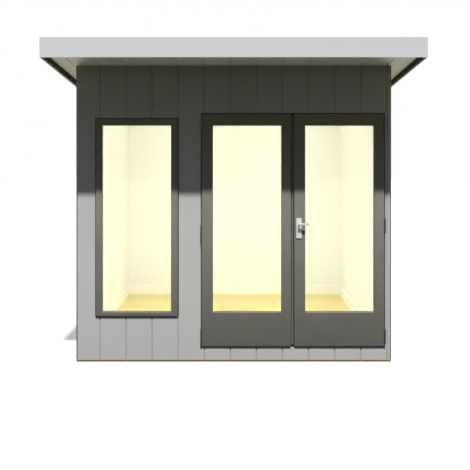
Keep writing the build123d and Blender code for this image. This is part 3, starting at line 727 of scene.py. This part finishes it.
# Screws through the hinge plates: eight in each, in two columns of four
hinge_plate = 0.0018
hinge_heights = {"left": (0.198, 0.993, 1.818), "right": (0.198, 1.043, 1.818)}
screw_spots = [(depth, rise) for depth in (0.011, 0.025) for rise in (-0.04, -0.016, 0.016, 0.04)]
screws = {"pod": [], "left_door": [], "right_door": []}
for side, leaf_edge, way, leaf in (("left", left_leaf_low.x, -1, "left_door"),
                                   ("right", right_leaf_high.x, 1, "right_door")):
    for height in hinge_heights[side]:
        for depth, rise in screw_spots:
            y, z = left_leaf_low.y + depth, height + rise
            leaf_plate = leaf_edge + way * hinge_plate
            frame_plate = leaf_edge + way * (door_gap - hinge_plate)
            screws[leaf].append(((leaf_plate, y, z), (way, 0, 0)))
            screws["pod"].append(((frame_plate, y, z), (-way, 0, 0)))
for body, places in screws.items():
    fix(body + "_hinge_screws", places, screw_head, size=0.0035, most_turn=1.0,
        material=hinge_coat, body=body)

# Two bolts through the room-side backplate hold both plates
bolt_from_end = 0.012
spindle_x = (plate_low.x + plate_high.x) / 2
plate_bolts = [((spindle_x, plate_high.y, height), (0, 1, 0))
               for height in (plate_low.z + bolt_from_end, plate_high.z - bolt_from_end)]
fix("backplate_bolts", plate_bolts, screw_head, size=0.0036, most_turn=1.0,
    material=plate_metal, body="right_door")


# Keyways: a round plug face on each end of the cylinder, with a shallow slot for the key whose
# black floor is painted shade
def key_plug(name, face_y, outward):
    sides = 16
    plug_radius = 0.0055
    plug_rise = 0.0004
    slot_floor = 0.0001
    half_slot_width = 0.0007
    half_slot_height = 0.0036
    plug_z = cylinder_high.z - 0.0085
    rims = []
    for is_slot, rise in ((False, 0.0), (False, plug_rise), (True, plug_rise), (True, slot_floor)):
        for corner in range(sides):
            angle = 2 * math.pi * (corner + 0.5) / sides
            across, up = math.cos(angle), math.sin(angle)
            if is_slot:
                x, z = math.copysign(half_slot_width, across), half_slot_height * up
            else:
                x, z = plug_radius * across, plug_radius * up
            rims.append((spindle_x + x, face_y + outward * rise, plug_z + z))
    faces = [tuple(range(sides)), tuple(range(3 * sides, 4 * sides))]
    for ring in range(3):
        for corner in range(sides):
            here, after = ring * sides + corner, ring * sides + (corner + 1) % sides
            faces.append((here, after, after + sides, here + sides))
    plug = piece(name, rims, faces, "right_door", [lever_metal, seal_rubber])
    # The slot floor, only 0.1 mm deep, is black: painted shade for the depth of the keyway.
    plug.data.polygons[1].material_index = 1
    return plug


key_plug("outer_key_plug", cylinder_low.y, -1)
key_plug("inner_key_plug", cylinder_high.y, 1)

# Camera: level, at the eye height and distance worked out from the photograph
eye = Vector((0.00975, -6.9, 1.594))
focal_pixels = 743.0
picture_pixels = 470.0
horizon_row = 154.0
sensor_width = 36.0

camera_data = bpy.data.cameras.new("camera")
camera_data.sensor_width = sensor_width
camera_data.lens = focal_pixels / picture_pixels * sensor_width
camera_data.shift_y = (horizon_row - picture_pixels / 2) / picture_pixels
camera = bpy.data.objects.new("camera", camera_data)
camera.location = eye
camera.rotation_euler = (math.radians(90), 0, 0)
bpy.context.scene.collection.objects.link(camera)
bpy.context.scene.camera = camera


# Light: a high sun from the front, light thrown up by pale ground, softer lamps for the
# back and sides, and five panels inside the room
def sun_lamp(name, direction, energy, angle):
    """A distant lamp that shines along a direction, and is as wide as an angle in degrees."""
    data = bpy.data.lights.new(name, "SUN")
    data.energy = energy
    data.angle = math.radians(angle)
    lamp = bpy.data.objects.new(name, data)
    lamp.rotation_mode = "QUATERNION"
    lamp.rotation_quaternion = Vector(direction).to_track_quat("-Z", "Y")
    bpy.context.scene.collection.objects.link(lamp)


def room_panel(name, centre, tilt, turn, width, height, energy):
    """A panel lamp in the room, not seen itself: it faces down, then tilts, then turns."""
    data = bpy.data.lights.new(name, "AREA")
    data.shape = "RECTANGLE"
    data.size = width
    data.size_y = height
    data.energy = energy
    data.color = shade("#FFFBF5")[:3]
    lamp = bpy.data.objects.new(name, data)
    lamp.location = centre
    lamp.rotation_euler = (math.radians(tilt), 0, math.radians(turn))
    lamp.visible_camera = False
    lamp.visible_glossy = False
    lamp.visible_transmission = False
    bpy.context.scene.collection.objects.link(lamp)


sun_lamp("sun", (-0.09, 1.0, -1.946), energy=5.85, angle=1.5)
sun_lamp("left_back_fill", (0.75, -0.65, -0.5), energy=1.6, angle=20)
sun_lamp("right_back_fill", (-0.75, -0.65, -0.5), energy=1.6, angle=20)
sun_lamp("front_ground_light", (0.0, 0.0, 1.0), energy=0.6, angle=12)
sun_lamp("left_ground_light", (0.2, -0.5, 1.0), energy=1.15, angle=12)
sun_lamp("right_ground_light", (-0.2, -0.5, 1.0), energy=1.15, angle=12)
room_panel("ceiling_panel", (0, 0, 1.98), tilt=0, turn=0, width=2.1, height=2.1, energy=9.4)
for side in (-1, 1):
    room_panel("front_panel", (side * 0.6, -1.02, 0.85), tilt=90, turn=0, width=0.6,
               height=1.5, energy=6.1)
    room_panel("corner_panel", (side * 0.35, 0.15, 0.6), tilt=85, turn=side * -38, width=0.4,
               height=0.8, energy=2.4)


def seen_rays(tree):
    """1 for camera, glossy and transmitted rays, which see the white backdrop."""
    rays = add_node(tree, "ShaderNodeLightPath").outputs
    seen = add_node(tree, "ShaderNodeMath", {"operation": "MAXIMUM"}, {
        0: rays["Is Camera Ray"], 1: rays["Is Glossy Ray"]})
    return add_node(tree, "ShaderNodeMath", {"operation": "MAXIMUM"}, {
        0: seen.outputs[0], 1: rays["Is Transmission Ray"]}).outputs[0]


# Sky: a faint glow on the object, and white where it is seen
world = bpy.data.worlds.new("sky")
world.use_nodes = True
world.node_tree.nodes.clear()
bpy.context.scene.world = world
soft_sky = add_node(world.node_tree, "ShaderNodeBackground", {}, {
    "Color": shade("#F0F3FB"), "Strength": 0.27})
white_sky = add_node(world.node_tree, "ShaderNodeBackground", {}, {
    "Color": shade("#FFFFFF"), "Strength": 1.0})
sky = add_node(world.node_tree, "ShaderNodeMixShader", {}, {
    0: seen_rays(world.node_tree), 1: soft_sky.outputs[0], 2: white_sky.outputs[0]})
add_node(world.node_tree, "ShaderNodeOutputWorld", {}, {"Surface": sky.outputs[0]})

# Floor: pale where it is seen, with the object's shadow, and dark to the light that it throws
# back, because the ground lights stand for that
floor_mesh = bpy.data.meshes.new("studio_floor")
reach = 40.0
floor_mesh.from_pydata([(-reach, -reach, 0), (reach, -reach, 0), (reach, reach, 0),
                        (-reach, reach, 0)], [], [(0, 1, 2, 3)])
studio_floor = bpy.data.objects.new("studio_floor", floor_mesh)
studio_floor.visible_shadow = False
bpy.context.scene.collection.objects.link(studio_floor)
floor_material, floor_tree = new_material("studio_floor")
floor_pale = add_node(floor_tree, "ShaderNodeBsdfDiffuse", {}, {"Color": shade("#AFAD92")})
floor_glow = add_node(floor_tree, "ShaderNodeEmission", {}, {
    "Color": shade("#8A8FB3"), "Strength": 1.0})
floor_seen = add_node(floor_tree, "ShaderNodeAddShader", {}, {
    0: floor_pale.outputs[0], 1: floor_glow.outputs[0]})
floor_bounce = add_node(floor_tree, "ShaderNodeBsdfDiffuse", {}, {"Color": shade("#171716")})
floor_mix = add_node(floor_tree, "ShaderNodeMixShader", {}, {
    0: seen_rays(floor_tree), 1: floor_bounce.outputs[0], 2: floor_seen.outputs[0]})
add_node(floor_tree, "ShaderNodeOutputMaterial", {}, {"Surface": floor_mix.outputs[0]})
studio_floor.data.materials.append(floor_material)
studio_floor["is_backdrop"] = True

bpy.context.scene.view_settings.view_transform = "Standard"

low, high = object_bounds()
